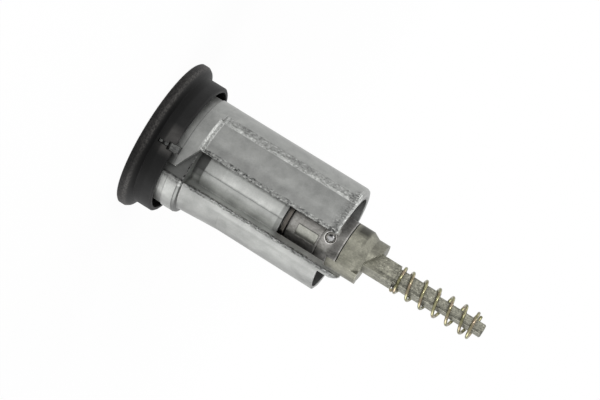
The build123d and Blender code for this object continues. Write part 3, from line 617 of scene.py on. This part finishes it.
finishes = {
    "sleeve_zinc": sleeve_zinc(),
    "plug_zinc": plug_zinc(),
    "driver_zinc": driver_zinc(),
    "bright_steel": bright_steel(),
    "face_steel": plain_metal("face_steel", grey(0.6), grey(0.5), 1.0, 0.3, edge=0.1 * MM, relief=0.002 * MM),
    "slider_steel": slider_steel(),
    "spring_steel": plain_metal("spring_steel", grey(0.18, 0.1), grey(0.09, 0.1), 1.0, 0.35, edge=0.05 * MM,
                                relief=0.002 * MM),
    "plated_spring": plated_wire(),
    "wafer_brass": plain_metal("wafer_brass", (0.62, 0.48, 0.24), (0.5, 0.38, 0.18), 1.0, 0.35, edge=0.08 * MM),
    "cap_plastic": cap_plastic(),
}
for part in frame["record"]["subparts"]:
    surface = nodes[part["node"]].data
    surface.materials.clear()
    surface.materials.append(finishes[part["material_slot"]])


# Tail spring of smooth round wire, in the place of the CAD one
spring_low, spring_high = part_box("tail_spring")
spring_radius = (spring_high.x - spring_low.x) / 2 - SPRING_WIRE
spring_foot = spring_low.z + SPRING_WIRE
foot_rise = FOOT_TURNS * CLOSED_PITCH
open_rise = spring_high.z - spring_low.z - 2 * SPRING_WIRE - foot_rise - HEAD_TURNS * CLOSED_PITCH


def spring_height(turn):
    """Height of the wire's middle above its start after some turns."""
    if turn < FOOT_TURNS:
        return turn * CLOSED_PITCH
    if turn < FOOT_TURNS + OPEN_TURNS:
        return foot_rise + (turn - FOOT_TURNS) / OPEN_TURNS * open_rise
    return foot_rise + open_rise + (turn - FOOT_TURNS - OPEN_TURNS) * CLOSED_PITCH


curve = bpy.data.curves.new("tail_spring_wire", "CURVE")
curve.dimensions = "3D"
curve.bevel_depth = SPRING_WIRE
curve.bevel_resolution = WIRE_ROUNDNESS
curve.use_fill_caps = True
turns = FOOT_TURNS + OPEN_TURNS + HEAD_TURNS
steps = round(turns * STEPS_PER_TURN)
line = curve.splines.new("POLY")
line.points.add(steps)
for index, point in enumerate(line.points):
    turn = turns * index / steps
    angle = math.radians(START_CLOCK - 90) + 2 * math.pi * turn
    point.co = (spring_radius * math.cos(angle), spring_radius * math.sin(angle),
                spring_foot + spring_height(turn), 1)
curve.materials.append(finishes["plated_spring"])
tail_wire = bpy.data.objects.new("tail_spring_wire", curve)
bpy.context.scene.collection.objects.link(tail_wire)
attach(tail_wire, "rotor")
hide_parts("tail_spring")

# World: white behind the object and in its reflections, a softer sky for diffuse light
world = bpy.data.worlds.new("studio")
bpy.context.scene.world = world
world.use_nodes = True
sky = Nodes(world.node_tree)
sky.tree.nodes.clear()
diffuse = sky.add("ShaderNodeBackground", Color=WHITE, Strength=DIFFUSE_SKY)
white = sky.add("ShaderNodeBackground", Color=WHITE, Strength=1)
sky.add("ShaderNodeOutputWorld", Surface=sky.blend(sky.seen_ray(), diffuse, white))

# Floor: pale, nearly white to the camera, with the object's soft shadow
bpy.ops.mesh.primitive_circle_add(vertices=FLOOR_SIDES, radius=FLOOR_RADIUS, fill_type="NGON",
                                  location=(0, 0, -FLOOR_GAP))
floor = bpy.context.object
floor.name = "studio_floor"
ground = Shader("studio_floor")
ground.fill(ground.bsdf, Base_Color=FLOOR_TONE, Roughness=FLOOR_ROUGHNESS)
glow = ground.add("ShaderNodeEmission", Color=WHITE, Strength=1)
whiteness = ground.span(ground.radius, FLOOR_NEAR, FLOOR_FAR, FLOOR_WHITE, 1)
share = ground.maths("MULTIPLY", ground.seen_ray(), whiteness)
ground.fill(ground.tree.nodes["Material Output"], Surface=ground.blend(share, ground.bsdf, glow))
floor.data.materials.append(ground.material)

for name, clock, rise, distance, size, watts in LAMPS:
    data = bpy.data.lights.new(name, "AREA")
    data.shape = "DISK"
    data.size = size
    data.energy = watts
    lamp = bpy.data.objects.new(name, data)
    bpy.context.scene.collection.objects.link(lamp)
    around, up = math.radians(clock), math.radians(rise)
    outward = Vector((math.sin(around) * math.cos(up), -math.cos(around) * math.cos(up), math.sin(up)))
    lamp.location = AIM + outward * distance
    lamp.rotation_mode = "QUATERNION"
    lamp.rotation_quaternion = outward.to_track_quat("Z", "Y")

# Camera at the photograph's place. The rows of seen are the lock's axes, its columns the camera's directions.
lock_x = Vector((-AXIS_SEEN.y, AXIS_SEEN.x, 0)).normalized()
seen = Matrix((lock_x, AXIS_SEEN.cross(lock_x), AXIS_SEEN))
right, down, forward = seen.col
camera_data = bpy.data.cameras.new("camera")
camera_data.sensor_width = SENSOR_MM
camera_data.lens = FOCAL_PX / PHOTO_WIDTH * SENSOR_MM
camera = bpy.data.objects.new("camera", camera_data)
bpy.context.scene.collection.objects.link(camera)
turned = Matrix((right, -down, -forward)).transposed()
camera.matrix_world = Matrix.Translation(-(seen @ ORIGIN_SEEN)) @ turned.to_4x4()
bpy.context.scene.camera = camera
bpy.context.scene.view_settings.view_transform = "Standard"
